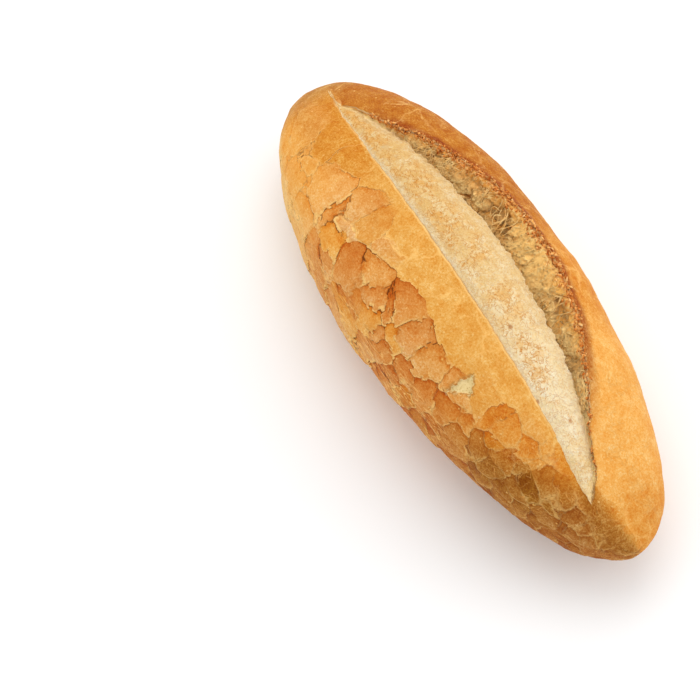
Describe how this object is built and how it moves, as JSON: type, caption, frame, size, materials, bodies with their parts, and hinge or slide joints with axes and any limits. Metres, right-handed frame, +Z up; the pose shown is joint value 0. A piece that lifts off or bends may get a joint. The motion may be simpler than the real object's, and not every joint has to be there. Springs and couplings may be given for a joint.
{
  "type": "bread roll",
  "caption": "Crusty spindle-shaped bread roll with one long slash that has opened along the crown into a pale domed strip, a torn gutter and a raised ear of crust.",
  "frame": {"origin": "centre of the bounding box on the plane the roll rests on", "axes": "+X along the roll towards the slightly slimmer tip, +Y towards the side with the raised ear of crust, +Z up through the slashed crown"},
  "size_m": [0.2, 0.0746, 0.0625],
  "materials": {
    "crust": "golden baked crust, softly satin, crackled into thin plates, with pale floury dough in the open slash"
  },
  "bodies": {
    "root": {"bread_roll": "crust"}
  },
  "joints": []
}
